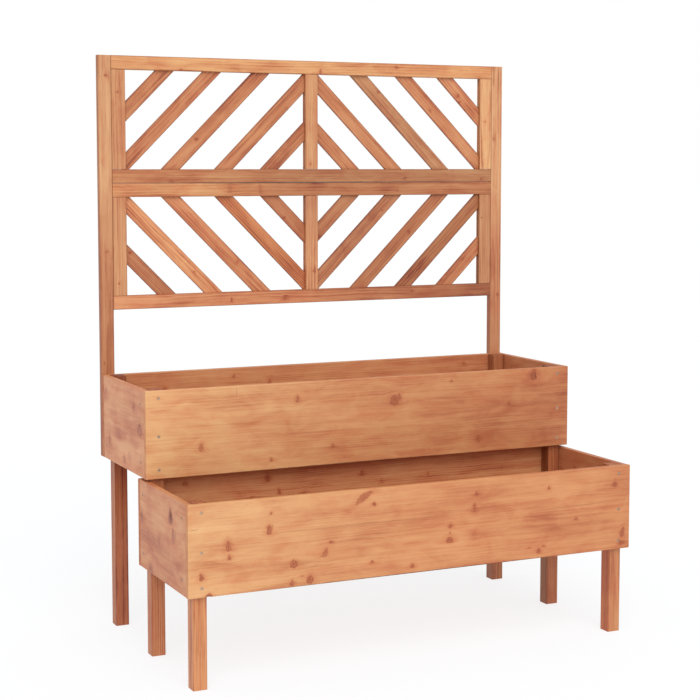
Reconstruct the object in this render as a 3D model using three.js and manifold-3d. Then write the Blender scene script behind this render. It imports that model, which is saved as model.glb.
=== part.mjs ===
// Two-tier wooden planter with a lattice trellis.
// Millimetres, +Z up, +Y towards the back, +X to the right seen from the front.
// The origin is on the ground, under the middle of the overall box.
//
// Two equal open boxes stand one behind and above the other on six square legs. The middle pair of
// legs is shared: it stands in the back corners of the lower box and in the front corners of the
// upper one. The long boards cover the ends of the side boards. Two flat posts on the back of the
// upper box carry two lattice panels, each a butted frame with three stiles and ten slats whose ends
// are let into a groove round the inside of the frame.
import * as THREE from "three";
import { mergeVertices } from "three/addons/utils/BufferGeometryUtils.js";
import Module from "manifold-3d";

const wasm = await Module();
wasm.setup();

// ---------------------------------------------------------------- driving dimensions
const WIDTH = 1100; // both boxes, outside
const BOARD = 14; // thickness of the box boards
const BOARD_HEIGHT = 198;
const GAP = 0.25; // clearance between touching pieces
const EASE = 1.5; // rounding of the long edges

const LEG = 32; // square legs
const LEG_PITCH = 272; // front, middle and rear legs, front to back

const LOWER_BOTTOM = 202; // underside of the lower box above the ground
const UPPER_BOTTOM = 406;

const BATTEN = 18; // bottom battens: depth
const BATTEN_HEIGHT = 20;
const BATTEN_LIFT = 2; // above the lower edge of the boards
const PANEL = 9; // bottom panel thickness
const DRAIN_R = 8;
const DRAIN_COLUMNS = 5;

const POST_WIDTH = 32;
const POST_DEPTH = 18;
const TRELLIS_TOP = 1362;
const TRELLIS_BOTTOM = 758;
const PANEL_SEAM = 0.3; // between the two lattice panels
const RAIL = 33; // height of the lattice rails
const STILE = 34; // width of the lattice stiles
const FRAME_DEPTH = 17;
const GROOVE_FROM = 7.2; // from the frame's front face
const GROOVE_WIDTH = 6.6;
const GROOVE_DEEP = 6; // how far a slat may reach into the frame
const SLAT_WIDTH = 34;
const SLAT_DEPTH = 6;
// Distance of each slat's centre line from the quadrant's outer corner, along the frame's edge.
const SLAT_STEPS = [101, 222, 350, 487, 608];

const SCREW_HEAD_R = 3.7;
const SCREW_SHANK_R = 2;
const SCREW_LENGTH = 40;
const SCREW_SEGMENTS = 20;

// ---------------------------------------------------------------- derived places
const LEG_X = [BOARD + GAP, WIDTH - BOARD - GAP - LEG];
const LEG_Y = [0, 1, 2].map((i) => BOARD + GAP + i * LEG_PITCH);
const LOWER_TOP = LOWER_BOTTOM + BOARD_HEIGHT;
const UPPER_TOP = UPPER_BOTTOM + BOARD_HEIGHT;
const BOX_DEPTH = LEG_PITCH + LEG + 2 * (BOARD + GAP);
const UPPER_Y = LEG_PITCH; // front face of the upper box
const POST_Y = UPPER_Y + BOX_DEPTH + GAP;
const DEPTH = POST_Y + POST_DEPTH;

const BOX_SCREWS_Z = [LOWER_BOTTOM + 20, LOWER_BOTTOM + 95, LOWER_TOP - 18];
const UPPER_SCREW_Z = UPPER_TOP - 17;
const SCREW_X = LEG_X.map((x) => x + LEG / 2);

// ---------------------------------------------------------------- helpers
const part = new THREE.Group();
part.position.set(-WIDTH / 2, -DEPTH / 2, 0);

const stain = {
  board: ["#d3905f", 0.62],
  side: ["#c98a63", 0.64],
  leg: ["#b96f46", 0.66],
  lattice: ["#cd824e", 0.62],
  post: ["#cf8a58", 0.62],
  hidden: ["#c08358", 0.7],
};

function finish(kind, shade = 0) {
  const [colour, roughness] = stain[kind];
  const c = new THREE.Color(colour).multiplyScalar(1 + shade);
  return new THREE.MeshStandardMaterial({ color: c, roughness, metalness: 0 });
}

// Adds a geometry given in the part's corner coordinates as a mesh placed at its own centre.
function add(group, name, geometry, material) {
  geometry.computeBoundingBox();
  const centre = geometry.boundingBox.getCenter(new THREE.Vector3());
  geometry.translate(-centre.x, -centre.y, -centre.z);
  const mesh = new THREE.Mesh(geometry, material);
  mesh.name = name;
  mesh.position.copy(centre);
  group.add(mesh);
  return mesh;
}

// Cyclic axis orders, so that a section drawn in XY runs along X, Y or Z without any rounding.
const ALONG = {
  x: new THREE.Matrix4().set(0, 0, 1, 0, 1, 0, 0, 0, 0, 1, 0, 0, 0, 0, 0, 1),
  y: new THREE.Matrix4().set(0, 1, 0, 0, 0, 0, 1, 0, 1, 0, 0, 0, 0, 0, 0, 1),
  z: new THREE.Matrix4(),
};
const SECTION = { x: [1, 2, 0], y: [2, 0, 1], z: [0, 1, 2] };

function easedRectangle(a, b, r) {
  const s = new THREE.Shape();
  s.moveTo(-a / 2 + r, -b / 2);
  s.lineTo(a / 2 - r, -b / 2);
  s.absarc(a / 2 - r, -b / 2 + r, r, -Math.PI / 2, 0);
  s.lineTo(a / 2, b / 2 - r);
  s.absarc(a / 2 - r, b / 2 - r, r, 0, Math.PI / 2);
  s.lineTo(-a / 2 + r, b / 2);
  s.absarc(-a / 2 + r, b / 2 - r, r, Math.PI / 2, Math.PI);
  s.lineTo(-a / 2, -b / 2 + r);
  s.absarc(-a / 2 + r, -b / 2 + r, r, Math.PI, Math.PI * 1.5);
  return s;
}

// A straight board between two corners, with its long edges eased.
function board(low, high, along, r = EASE) {
  const size = low.map((v, i) => high[i] - v);
  const [a, b, l] = SECTION[along].map((i) => size[i]);
  const g = new THREE.ExtrudeGeometry(easedRectangle(a, b, r), {
    depth: l,
    bevelEnabled: false,
    curveSegments: 1,
    steps: 1,
  });
  g.translate(0, 0, -l / 2);
  g.applyMatrix4(ALONG[along]);
  g.translate((low[0] + high[0]) / 2, (low[1] + high[1]) / 2, (low[2] + high[2]) / 2);
  return g;
}

function solid(geometry) {
  const g = geometry.clone();
  g.deleteAttribute("normal");
  g.deleteAttribute("uv");
  const m = mergeVertices(g, 1e-4);
  return new wasm.Manifold(
    new wasm.Mesh({
      numProp: 3,
      vertProperties: new Float32Array(m.attributes.position.array),
      triVerts: new Uint32Array(m.index.array),
    }),
  );
}

function surface(body) {
  const mesh = body.getMesh();
  const g = new THREE.BufferGeometry();
  const n = mesh.vertProperties.length / mesh.numProp;
  const points = new Float32Array(n * 3);
  for (let i = 0; i < n; i++)
    for (let k = 0; k < 3; k++) points[3 * i + k] = mesh.vertProperties[mesh.numProp * i + k];
  g.setAttribute("position", new THREE.BufferAttribute(points, 3));
  g.setIndex(new THREE.BufferAttribute(new Uint32Array(mesh.triVerts), 1));
  const flat = g.toNonIndexed();
  flat.computeVertexNormals();
  return flat;
}

function cut(geometry, ...tools) {
  let body = solid(geometry);
  for (const tool of tools) body = body.subtract(solid(tool));
  return surface(body);
}

function block(low, high) {
  const g = new THREE.BoxGeometry(high[0] - low[0], high[1] - low[1], high[2] - low[2]);
  g.translate((low[0] + high[0]) / 2, (low[1] + high[1]) / 2, (low[2] + high[2]) / 2);
  return g;
}

// A turned solid whose axis runs along +Y from the point given. The profile is [radius, y].
function turned(profile, x, y, z, segments = SCREW_SEGMENTS) {
  const g = new THREE.LatheGeometry(
    profile.map(([r, h]) => new THREE.Vector2(r, h)),
    segments,
  );
  g.translate(x, y, z);
  return g;
}

// Clearance for one screw: countersink and shank, a little larger than the screw all round.
function screwHole(x, y, z) {
  const c = 0.3;
  return turned(
    [
      [0, -2],
      [SCREW_HEAD_R + c, -2],
      [SCREW_HEAD_R + c, 0.9],
      [SCREW_SHANK_R + c, 3.9],
      [SCREW_SHANK_R + c, SCREW_LENGTH - 3],
      [0, SCREW_LENGTH + 1.5],
    ],
    x,
    y,
    z,
  );
}

// A countersunk screw with a cross recess, its head 0.3 mm below the board's face.
function screw(x, y, z) {
  const body = turned(
    [
      [0, 0.3],
      [SCREW_HEAD_R, 0.3],
      [SCREW_HEAD_R, 0.8],
      [SCREW_SHANK_R, 3.6],
      [SCREW_SHANK_R, SCREW_LENGTH - 4],
      [0.4, SCREW_LENGTH],
      [0, SCREW_LENGTH],
    ],
    x,
    y,
    z,
  );
  const arm = 2.1;
  const thin = 0.45;
  return cut(
    body,
    block([x - arm, y - 1, z - thin], [x + arm, y + 1.7, z + thin]),
    block([x - thin, y - 1, z - arm], [x + thin, y + 1.7, z + arm]),
  );
}

// ---------------------------------------------------------------- legs
const legs = new THREE.Group();
part.add(legs);
const LEG_ROWS = [
  ["front", LEG_Y[0], LOWER_TOP],
  ["middle", LEG_Y[1], UPPER_TOP],
  ["rear", LEG_Y[2], UPPER_TOP],
];
LEG_ROWS.forEach(([row, y, top]) => {
  ["left", "right"].forEach((side, i) => {
    const x = LEG_X[i];
    let g = board([x, y, 0], [x + LEG, y + LEG, top], "z");
    if (row === "front") {
      g = cut(g, ...BOX_SCREWS_Z.map((z) => screwHole(SCREW_X[i], 0, z)));
    } else if (row === "middle") {
      g = cut(g, screwHole(SCREW_X[i], UPPER_Y, UPPER_SCREW_Z));
    }
    add(legs, `${row}_${side}_leg`, g, finish("leg", i ? 0.04 : 0));
  });
});

// ---------------------------------------------------------------- boxes
function box(name, y0, z0, screwsZ) {
  const group = new THREE.Group();
  part.add(group);
  const y1 = y0 + BOX_DEPTH;
  const z1 = z0 + BOARD_HEIGHT;
  const inLow = BOARD + GAP;
  const inHigh = WIDTH - BOARD - GAP;
  const pLow = y0 + BOARD + GAP;
  const pHigh = y1 - BOARD - GAP;

  const front = cut(
    board([0, y0, z0], [WIDTH, y0 + BOARD, z1], "x"),
    ...SCREW_X.flatMap((x) => screwsZ.map((z) => screwHole(x, y0, z))),
  );
  add(group, `${name}_front_board`, front, finish("board"));
  add(
    group,
    `${name}_back_board`,
    board([0, y1 - BOARD, z0], [WIDTH, y1, z1], "x"),
    finish("board", -0.04),
  );
  add(
    group,
    `${name}_left_side_board`,
    board([0, pLow, z0], [BOARD, pHigh, z1], "y"),
    finish("side"),
  );
  add(
    group,
    `${name}_right_side_board`,
    board([WIDTH - BOARD, pLow, z0], [WIDTH, pHigh, z1], "y"),
    finish("side", 0.03),
  );

  // Two battens inside the long boards, between the legs, carry the bottom.
  const bz = z0 + BATTEN_LIFT;
  const legClear = LEG_X[0] + LEG + GAP;
  add(
    group,
    `${name}_front_batten`,
    board(
      [legClear, y0 + BOARD + GAP, bz],
      [WIDTH - legClear, y0 + BOARD + GAP + BATTEN, bz + BATTEN_HEIGHT],
      "x",
    ),
    finish("hidden"),
  );
  add(
    group,
    `${name}_back_batten`,
    board(
      [legClear, y1 - BOARD - GAP - BATTEN, bz],
      [WIDTH - legClear, y1 - BOARD - GAP, bz + BATTEN_HEIGHT],
      "x",
    ),
    finish("hidden"),
  );

  // The bottom panel is notched round the four legs and drilled for drainage.
  const notchX = legClear;
  const notchFront = pLow + LEG + GAP;
  const notchBack = pHigh - LEG - GAP;
  const s = new THREE.Shape();
  s.moveTo(notchX, pLow);
  s.lineTo(WIDTH - notchX, pLow);
  s.lineTo(WIDTH - notchX, notchFront);
  s.lineTo(inHigh, notchFront);
  s.lineTo(inHigh, notchBack);
  s.lineTo(WIDTH - notchX, notchBack);
  s.lineTo(WIDTH - notchX, pHigh);
  s.lineTo(notchX, pHigh);
  s.lineTo(notchX, notchBack);
  s.lineTo(inLow, notchBack);
  s.lineTo(inLow, notchFront);
  s.lineTo(notchX, notchFront);
  s.closePath();
  for (let i = 0; i < DRAIN_COLUMNS; i++)
    for (const t of [0.27, 0.73]) {
      const hole = new THREE.Path();
      const x = WIDTH * ((i + 0.5) / DRAIN_COLUMNS);
      const y = pLow + (pHigh - pLow) * t;
      hole.absarc(x, y, DRAIN_R, 0, Math.PI * 2, true);
      s.holes.push(hole);
    }
  const panel = new THREE.ExtrudeGeometry(s, {
    depth: PANEL,
    bevelEnabled: false,
    curveSegments: 8,
    steps: 1,
  });
  panel.translate(0, 0, bz + BATTEN_HEIGHT + GAP);
  add(group, `${name}_bottom_panel`, panel, finish("hidden", 0.03));
}
box("lower", 0, LOWER_BOTTOM, BOX_SCREWS_Z);
box("upper", UPPER_Y, UPPER_BOTTOM, [UPPER_SCREW_Z]);

// ---------------------------------------------------------------- screws of the front boards
const screws = new THREE.Group();
part.add(screws);
const steel = () =>
  new THREE.MeshStandardMaterial({ color: "#8c7f74", roughness: 0.45, metalness: 1 });
["left", "right"].forEach((side, i) => {
  ["bottom", "middle", "top"].forEach((height, k) =>
    add(screws, `lower_${side}_${height}_screw`, screw(SCREW_X[i], 0, BOX_SCREWS_Z[k]), steel()),
  );
  add(screws, `upper_${side}_screw`, screw(SCREW_X[i], UPPER_Y, UPPER_SCREW_Z), steel());
});

// ---------------------------------------------------------------- trellis posts
const trellis = new THREE.Group();
part.add(trellis);
["left", "right"].forEach((side, i) => {
  const x = i ? WIDTH - POST_WIDTH : 0;
  add(
    trellis,
    `${side}_trellis_post`,
    board([x, POST_Y, UPPER_BOTTOM], [x + POST_WIDTH, POST_Y + POST_DEPTH, TRELLIS_TOP], "z"),
    finish("post", i ? 0.03 : 0),
  );
});

// ---------------------------------------------------------------- lattice panels
const PANEL_HEIGHT = (TRELLIS_TOP - TRELLIS_BOTTOM - PANEL_SEAM) / 2;
const FRAME_X = [POST_WIDTH + GAP, WIDTH - POST_WIDTH - GAP];
const FRAME_Y = [POST_Y, POST_Y + FRAME_DEPTH];
const CENTRE_STILE_X = [(WIDTH - STILE) / 2, (WIDTH + STILE) / 2];
const QUADRANT_X = [
  [FRAME_X[0] + STILE, CENTRE_STILE_X[0]],
  [CENTRE_STILE_X[1], FRAME_X[1] - STILE],
];
const GROOVE_Y = [POST_Y + GROOVE_FROM, POST_Y + GROOVE_FROM + GROOVE_WIDTH];

// Clips a convex outline against the half plane a*x + b*z <= c.
function clip(points, a, b, c) {
  const out = [];
  points.forEach((p, i) => {
    const q = points[(i + 1) % points.length];
    const dp = a * p[0] + b * p[1] - c;
    const dq = a * q[0] + b * q[1] - c;
    if (dp <= 0) out.push(p);
    if (dp * dq < 0) {
      const t = dp / (dp - dq);
      out.push([p[0] + (q[0] - p[0]) * t, p[1] + (q[1] - p[1]) * t]);
    }
  });
  return out;
}

// One slat: the band at 45 degrees, a given distance from a corner, trimmed to the groove.
function slat(cornerX, cornerZ, signX, signZ, step, rect) {
  const reach = (SLAT_WIDTH * Math.SQRT2) / 2;
  let outline = [
    [rect[0], rect[2]],
    [rect[1], rect[2]],
    [rect[1], rect[3]],
    [rect[0], rect[3]],
  ];
  const origin = signX * cornerX + signZ * cornerZ;
  outline = clip(outline, signX, signZ, origin + step + reach);
  outline = clip(outline, -signX, -signZ, -(origin + step - reach));
  const s = new THREE.Shape(outline.map(([x, z]) => new THREE.Vector2(z, x)));
  const g = new THREE.ExtrudeGeometry(s, { depth: SLAT_DEPTH, bevelEnabled: false, steps: 1 });
  g.applyMatrix4(ALONG.y);
  g.translate(0, (GROOVE_Y[0] + GROOVE_Y[1] - SLAT_DEPTH) / 2, 0);
  return g;
}

[
  ["lower", TRELLIS_BOTTOM, -1],
  ["upper", TRELLIS_BOTTOM + PANEL_HEIGHT + PANEL_SEAM, 1],
].forEach(([name, z0, outward]) => {
  const group = new THREE.Group();
  trellis.add(group);
  const z1 = z0 + PANEL_HEIGHT;
  const open = [z0 + RAIL, z1 - RAIL];
  const grooves = QUADRANT_X.map(([a, b]) =>
    block(
      [a - GROOVE_DEEP, GROOVE_Y[0], open[0] - GROOVE_DEEP],
      [b + GROOVE_DEEP, GROOVE_Y[1], open[1] + GROOVE_DEEP],
    ),
  );
  const member = (label, low, high, along, shade) =>
    add(
      group,
      `${name}_${label}`,
      cut(board(low, high, along, 1), ...grooves),
      finish("lattice", shade),
    );
  member("trellis_bottom_rail", [FRAME_X[0], FRAME_Y[0], z0], [FRAME_X[1], FRAME_Y[1], open[0]], "x", 0);
  member("trellis_top_rail", [FRAME_X[0], FRAME_Y[0], open[1]], [FRAME_X[1], FRAME_Y[1], z1], "x", 0.03);
  [
    ["left", FRAME_X[0]],
    ["centre", CENTRE_STILE_X[0]],
    ["right", FRAME_X[1] - STILE],
  ].forEach(([side, x], k) =>
    member(
      `trellis_${side}_stile`,
      [x, FRAME_Y[0], open[0] + GAP],
      [x + STILE, FRAME_Y[1], open[1] - GAP],
      "z",
      0.02 * (k - 1),
    ),
  );

  // Slats fan out from the middle of the trellis: their steps count from each outer corner.
  ["left", "right"].forEach((side, i) => {
    const [a, b] = QUADRANT_X[i];
    const trim = GROOVE_DEEP - 0.4;
    const rect = [a - trim, b + trim, open[0] - trim, open[1] + trim];
    const cornerX = i ? b : a;
    const cornerZ = outward > 0 ? open[1] : open[0];
    const signX = i ? -1 : 1;
    const signZ = -outward;
    SLAT_STEPS.forEach((step, k) =>
      add(
        group,
        `${name}_${side}_slat_${k + 1}`,
        slat(cornerX, cornerZ, signX, signZ, step, rect),
        finish("lattice", [0.02, -0.05, 0.04, -0.02, 0][k]),
      ),
    );
  });
});

export default part;
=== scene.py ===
import math
import random

import bmesh
import bpy
from mathutils import Euler, Matrix, Vector


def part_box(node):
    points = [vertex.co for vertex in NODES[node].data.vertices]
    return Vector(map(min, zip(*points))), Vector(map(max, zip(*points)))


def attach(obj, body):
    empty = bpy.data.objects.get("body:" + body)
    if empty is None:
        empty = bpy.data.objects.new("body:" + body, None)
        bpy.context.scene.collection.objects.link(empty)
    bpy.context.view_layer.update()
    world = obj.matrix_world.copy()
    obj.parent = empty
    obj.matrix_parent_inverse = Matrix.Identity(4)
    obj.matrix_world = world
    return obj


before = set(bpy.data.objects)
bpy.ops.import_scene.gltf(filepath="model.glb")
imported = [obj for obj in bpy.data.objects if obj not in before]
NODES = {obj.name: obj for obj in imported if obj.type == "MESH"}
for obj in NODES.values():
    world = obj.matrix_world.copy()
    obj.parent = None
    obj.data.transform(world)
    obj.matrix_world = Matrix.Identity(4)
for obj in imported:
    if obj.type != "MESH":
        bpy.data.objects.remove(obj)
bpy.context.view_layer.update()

scene = bpy.context.scene

# The part's size in metres, in corner coordinates: x from the left face, y from the front face.
WIDTH, DEPTH = 1.1, 0.62275


def at(x, y, z):
    """A point given in millimetres in corner coordinates, in the row frame."""
    return Vector((x / 1000 - WIDTH / 2, y / 1000 - DEPTH / 2, z / 1000))


# ---------------------------------------------------------------- camera, light, floor
cam = bpy.data.cameras.new("camera")
cam_ob = bpy.data.objects.new("camera", cam)
scene.collection.objects.link(cam_ob)
cam.sensor_width = 36.0
cam.sensor_fit = "AUTO"
cam.lens = 83.976
cam.shift_y = -0.06
cam.clip_start, cam.clip_end = 0.05, 200.0
cam_ob.location = (-1.66367, -3.46818, 1.09786)
cam_ob.rotation_mode = "XYZ"
cam_ob.rotation_euler = (math.pi / 2 - 0.08595, 0.0, -0.43975)
scene.camera = cam_ob

scene.view_settings.view_transform = "Standard"
scene.view_settings.look = "None"
scene.view_settings.exposure = 0.0
scene.view_settings.gamma = 1.0

world = bpy.data.worlds.new("studio")
scene.world = world
world.use_nodes = True
# White paper behind the object; the light it gives is softer than it looks.
background = world.node_tree.nodes.get("Background")
background.inputs["Color"].default_value = (1.0, 1.0, 1.0, 1.0)
seen = world.node_tree.nodes.new("ShaderNodeLightPath")
level = world.node_tree.nodes.new("ShaderNodeMapRange")
level.inputs["To Min"].default_value = 0.64
level.inputs["To Max"].default_value = 1.0
world.node_tree.links.new(seen.outputs["Is Camera Ray"], level.inputs["Value"])
world.node_tree.links.new(level.outputs["Result"], background.inputs["Strength"])


sun = bpy.data.lights.new("key", "SUN")
sun.energy = 2.0
sun.angle = math.radians(55)
sun.color = (1.0, 0.985, 0.955)
sun_ob = bpy.data.objects.new("key", sun)
scene.collection.objects.link(sun_ob)
sun_ob.rotation_euler = (Vector((0, 0, 0)) - Vector((-0.24, -0.93, 0.78))).to_track_quat("-Z", "Y").to_euler()

bpy.ops.mesh.primitive_plane_add(size=120, location=(0, 0, 0))
floor = bpy.context.object
floor.name = "studio_floor"
floor_mat = bpy.data.materials.new("studio_floor")
floor_mat.use_nodes = True
p = floor_mat.node_tree.nodes["Principled BSDF"]
p.inputs["Base Color"].default_value = (0.195, 0.206, 0.222, 1)
p.inputs["Roughness"].default_value = 0.9
p.inputs["Specular IOR Level"].default_value = 0.1
p.inputs["Emission Color"].default_value = (1.0, 1.0, 1.0, 1)
p.inputs["Emission Strength"].default_value = 0.79
floor.data.materials.append(floor_mat)


# ---------------------------------------------------------------- a short way to write node trees
class F:
    """A number in a node tree, so that nodes can be written as arithmetic."""

    def __init__(self, tree, socket):
        self.t, self.s = tree, socket

    def __add__(self, o):
        return self.t.math("ADD", self, o)

    __radd__ = __add__

    def __sub__(self, o):
        return self.t.math("SUBTRACT", self, o)

    def __rsub__(self, o):
        return self.t.math("SUBTRACT", o, self)

    def __mul__(self, o):
        return self.t.math("MULTIPLY", self, o)

    __rmul__ = __mul__

    def __truediv__(self, o):
        return self.t.math("DIVIDE", self, o)


class Tree:
    def __init__(self, node_tree):
        self.nt = node_tree
        self.n = 0

    def node(self, kind, **props):
        n = self.nt.nodes.new(kind)
        n.location = (180 * (self.n % 40), -200 * (self.n // 40))
        self.n += 1
        for k, v in props.items():
            setattr(n, k, v)
        return n

    def put(self, socket, value):
        if isinstance(value, F):
            self.nt.links.new(value.s, socket)
        elif isinstance(value, bpy.types.NodeSocket):
            self.nt.links.new(value, socket)
        elif value is not None:
            if socket.type == "RGBA" and len(value) == 3:
                value = (*value, 1.0)
            socket.default_value = value

    def math(self, op, a, b=None, c=None, clamp=False):
        n = self.node("ShaderNodeMath", operation=op, use_clamp=clamp)
        for i, v in enumerate((a, b, c)):
            if v is not None:
                self.put(n.inputs[i], v)
        return F(self, n.outputs[0])

    def vec(self, op, a, b=None, scale=None):
        n = self.node("ShaderNodeVectorMath", operation=op)
        self.put(n.inputs[0], a)
        if b is not None:
            self.put(n.inputs[1], b)
        if scale is not None:
            self.put(n.inputs["Scale"], scale)
        if op in ("LENGTH", "DOT_PRODUCT", "DISTANCE"):
            return F(self, n.outputs["Value"])
        return n.outputs["Vector"]

    def xyz(self, x, y, z):
        n = self.node("ShaderNodeCombineXYZ")
        for i, v in enumerate((x, y, z)):
            self.put(n.inputs[i], v)
        return n.outputs[0]

    def split(self, v):
        n = self.node("ShaderNodeSeparateXYZ")
        self.put(n.inputs[0], v)
        return [F(self, o) for o in n.outputs]

    def noise(self, v, scale=1.0, detail=2.0, rough=0.5, distortion=0.0):
        n = self.node("ShaderNodeTexNoise", noise_dimensions="3D")
        self.put(n.inputs["Vector"], v)
        self.put(n.inputs["Scale"], scale)
        self.put(n.inputs["Detail"], detail)
        self.put(n.inputs["Roughness"], rough)
        self.put(n.inputs["Distortion"], distortion)
        return F(self, n.outputs["Fac"])

    def ramp(self, v, lo, hi, out0=0.0, out1=1.0, smooth=True):
        n = self.node("ShaderNodeMapRange", clamp=True,
                      interpolation_type="SMOOTHSTEP" if smooth else "LINEAR")
        self.put(n.inputs["Value"], v)
        for k, x in (("From Min", lo), ("From Max", hi), ("To Min", out0), ("To Max", out1)):
            self.put(n.inputs[k], x)
        return F(self, n.outputs["Result"])

    def mix(self, fac, a, b, blend="MIX"):
        n = self.node("ShaderNodeMix", data_type="RGBA", blend_type=blend, clamp_factor=True)
        self.put(n.inputs[0], fac)
        self.put(n.inputs[6], a)
        self.put(n.inputs[7], b)
        return n.outputs[2]

    def colours(self, fac, stops):
        n = self.node("ShaderNodeValToRGB")
        self.put(n.inputs[0], fac)
        cr = n.color_ramp
        cr.interpolation = "LINEAR"
        while len(cr.elements) < len(stops):
            cr.elements.new(0.5)
        for e, (pos, col) in zip(cr.elements, stops):
            e.position = pos
            e.color = (*col, 1.0)
        return n.outputs[0]


def group(name, inputs, outputs):
    nt = bpy.data.node_groups.new(name, "ShaderNodeTree")
    for label, kind, default in inputs:
        s = nt.interface.new_socket(name=label, in_out="INPUT", socket_type=kind)
        if default is not None:
            s.default_value = default
    for label, kind in outputs:
        nt.interface.new_socket(name=label, in_out="OUTPUT", socket_type=kind)
    t = Tree(nt)
    gi = t.node("NodeGroupInput")
    go = t.node("NodeGroupOutput")
    return nt, t, gi, go


# ---------------------------------------------------------------- one knot
# A knot runs through the board's thickness. Vector is in the board's own frame: x along the grain,
# y through the thickness, z across. The grain parts round it, and its colour follows Distance.
VEC, VAL, COL = "NodeSocketVector", "NodeSocketFloat", "NodeSocketColor"
KNOT, t, gi, go = group(
    "knot",
    [("Vector", VEC, None), ("Centre", VEC, None), ("Turn", VEC, None), ("Half", VEC, (1, 1, 1)),
     ("Strength", VAL, 1.0), ("Warp", VAL, 0.0), ("Mask", VAL, 0.0), ("Distance", VAL, 9.0), ("Halo", VAL, 0.0)],
    [("Warp", VAL), ("Mask", VAL), ("Distance", VAL), ("Halo", VAL), ("Vector", VEC)],
)
m = t.node("ShaderNodeMapping", vector_type="TEXTURE")
for a, b in (("Vector", "Vector"), ("Location", "Centre"), ("Rotation", "Turn"), ("Scale", "Half")):
    t.put(m.inputs[a], gi.outputs[b])
qx, qy, qz = t.split(m.outputs[0])
# Narrower above than below, like a flame.
qx = qx * t.math("MAXIMUM", qz * 0.42 + 1.0, 0.6)
d = t.math("SQRT", qx * qx + qz * qz)
far = t.vec("LENGTH", t.xyz(qx * 0.27, 0.0, qz * 0.42))
pull = t.ramp(far, 0.0, 1.3, 1.0, 0.0)
half = t.split(gi.outputs["Half"])
push = qz * half[2] * pull * 0.62 * F(t, gi.outputs["Strength"])
warp = F(t, gi.outputs["Warp"]) - push
t.put(go.inputs["Warp"], warp)
mask = t.ramp(d, 0.80, 1.14, 1.0, 0.0) * F(t, gi.outputs["Strength"])
t.put(go.inputs["Mask"], t.math("MAXIMUM", mask, gi.outputs["Mask"]))
t.put(go.inputs["Distance"], t.math("MINIMUM", d, gi.outputs["Distance"]))
halo = t.ramp(far, 0.1, 0.95, 1.0, 0.0) * F(t, gi.outputs["Strength"])
t.put(go.inputs["Halo"], t.math("MAXIMUM", halo, gi.outputs["Halo"]))
# The next knot waits for this one, so that a board with many knots needs no more room than one with few.
t.put(go.inputs["Vector"], t.vec("ADD", gi.outputs["Vector"], t.xyz(0.0, (warp + mask + halo) * 1e-9, 0.0)))

# Knots are drawn in a slightly crumpled space, so that no outline is a clean ellipse.
CRUMPLE, t, gi, go = group("crumple", [("Vector", VEC, None)], [("Vector", VEC)])
cu, cv, cw = t.split(gi.outputs["Vector"])
n1 = t.noise(t.xyz(cu * 240.0, cv * 200.0, cw * 170.0), 1.0, 3.0, 0.6)
n2 = t.noise(t.xyz(cu * 240.0 + 31.7, cv * 200.0, cw * 170.0), 1.0, 3.0, 0.6)
t.put(go.inputs["Vector"], t.vec("ADD", gi.outputs["Vector"], t.xyz((n1 - 0.5) * 0.0085, 0.0, (n2 - 0.5) * 0.010)))

# Dark lines in a board, each a long thin ellipse in the board's own frame: cracks and dark streaks, and on some pieces
# painted shade along an edge or a seam.
LINE, t, gi, go = group(
    "line",
    [("Vector", VEC, None), ("Centre", VEC, None), ("Turn", VEC, None), ("Half", VEC, (1, 1, 1)),
     ("Strength", VAL, 1.0), ("Dark", VAL, 0.0)],
    [("Dark", VAL)],
)
m = t.node("ShaderNodeMapping", vector_type="TEXTURE")
wob = t.noise(t.vec("MULTIPLY", gi.outputs["Vector"], (60, 60, 60)), 1.0, 3.0)
off = (wob - 0.5) * 0.0022
moved = t.vec("ADD", gi.outputs["Vector"], t.xyz(off, 0.0, off))
t.put(m.inputs["Vector"], moved)
for a, b in (("Location", "Centre"), ("Rotation", "Turn"), ("Scale", "Half")):
    t.put(m.inputs[a], gi.outputs[b])
d = t.vec("LENGTH", m.outputs[0])
dark = t.ramp(d, 0.25, 1.0, 1.0, 0.0) * F(t, gi.outputs["Strength"])
t.put(go.inputs["Dark"], t.math("MAXIMUM", dark, gi.outputs["Dark"]))

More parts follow.
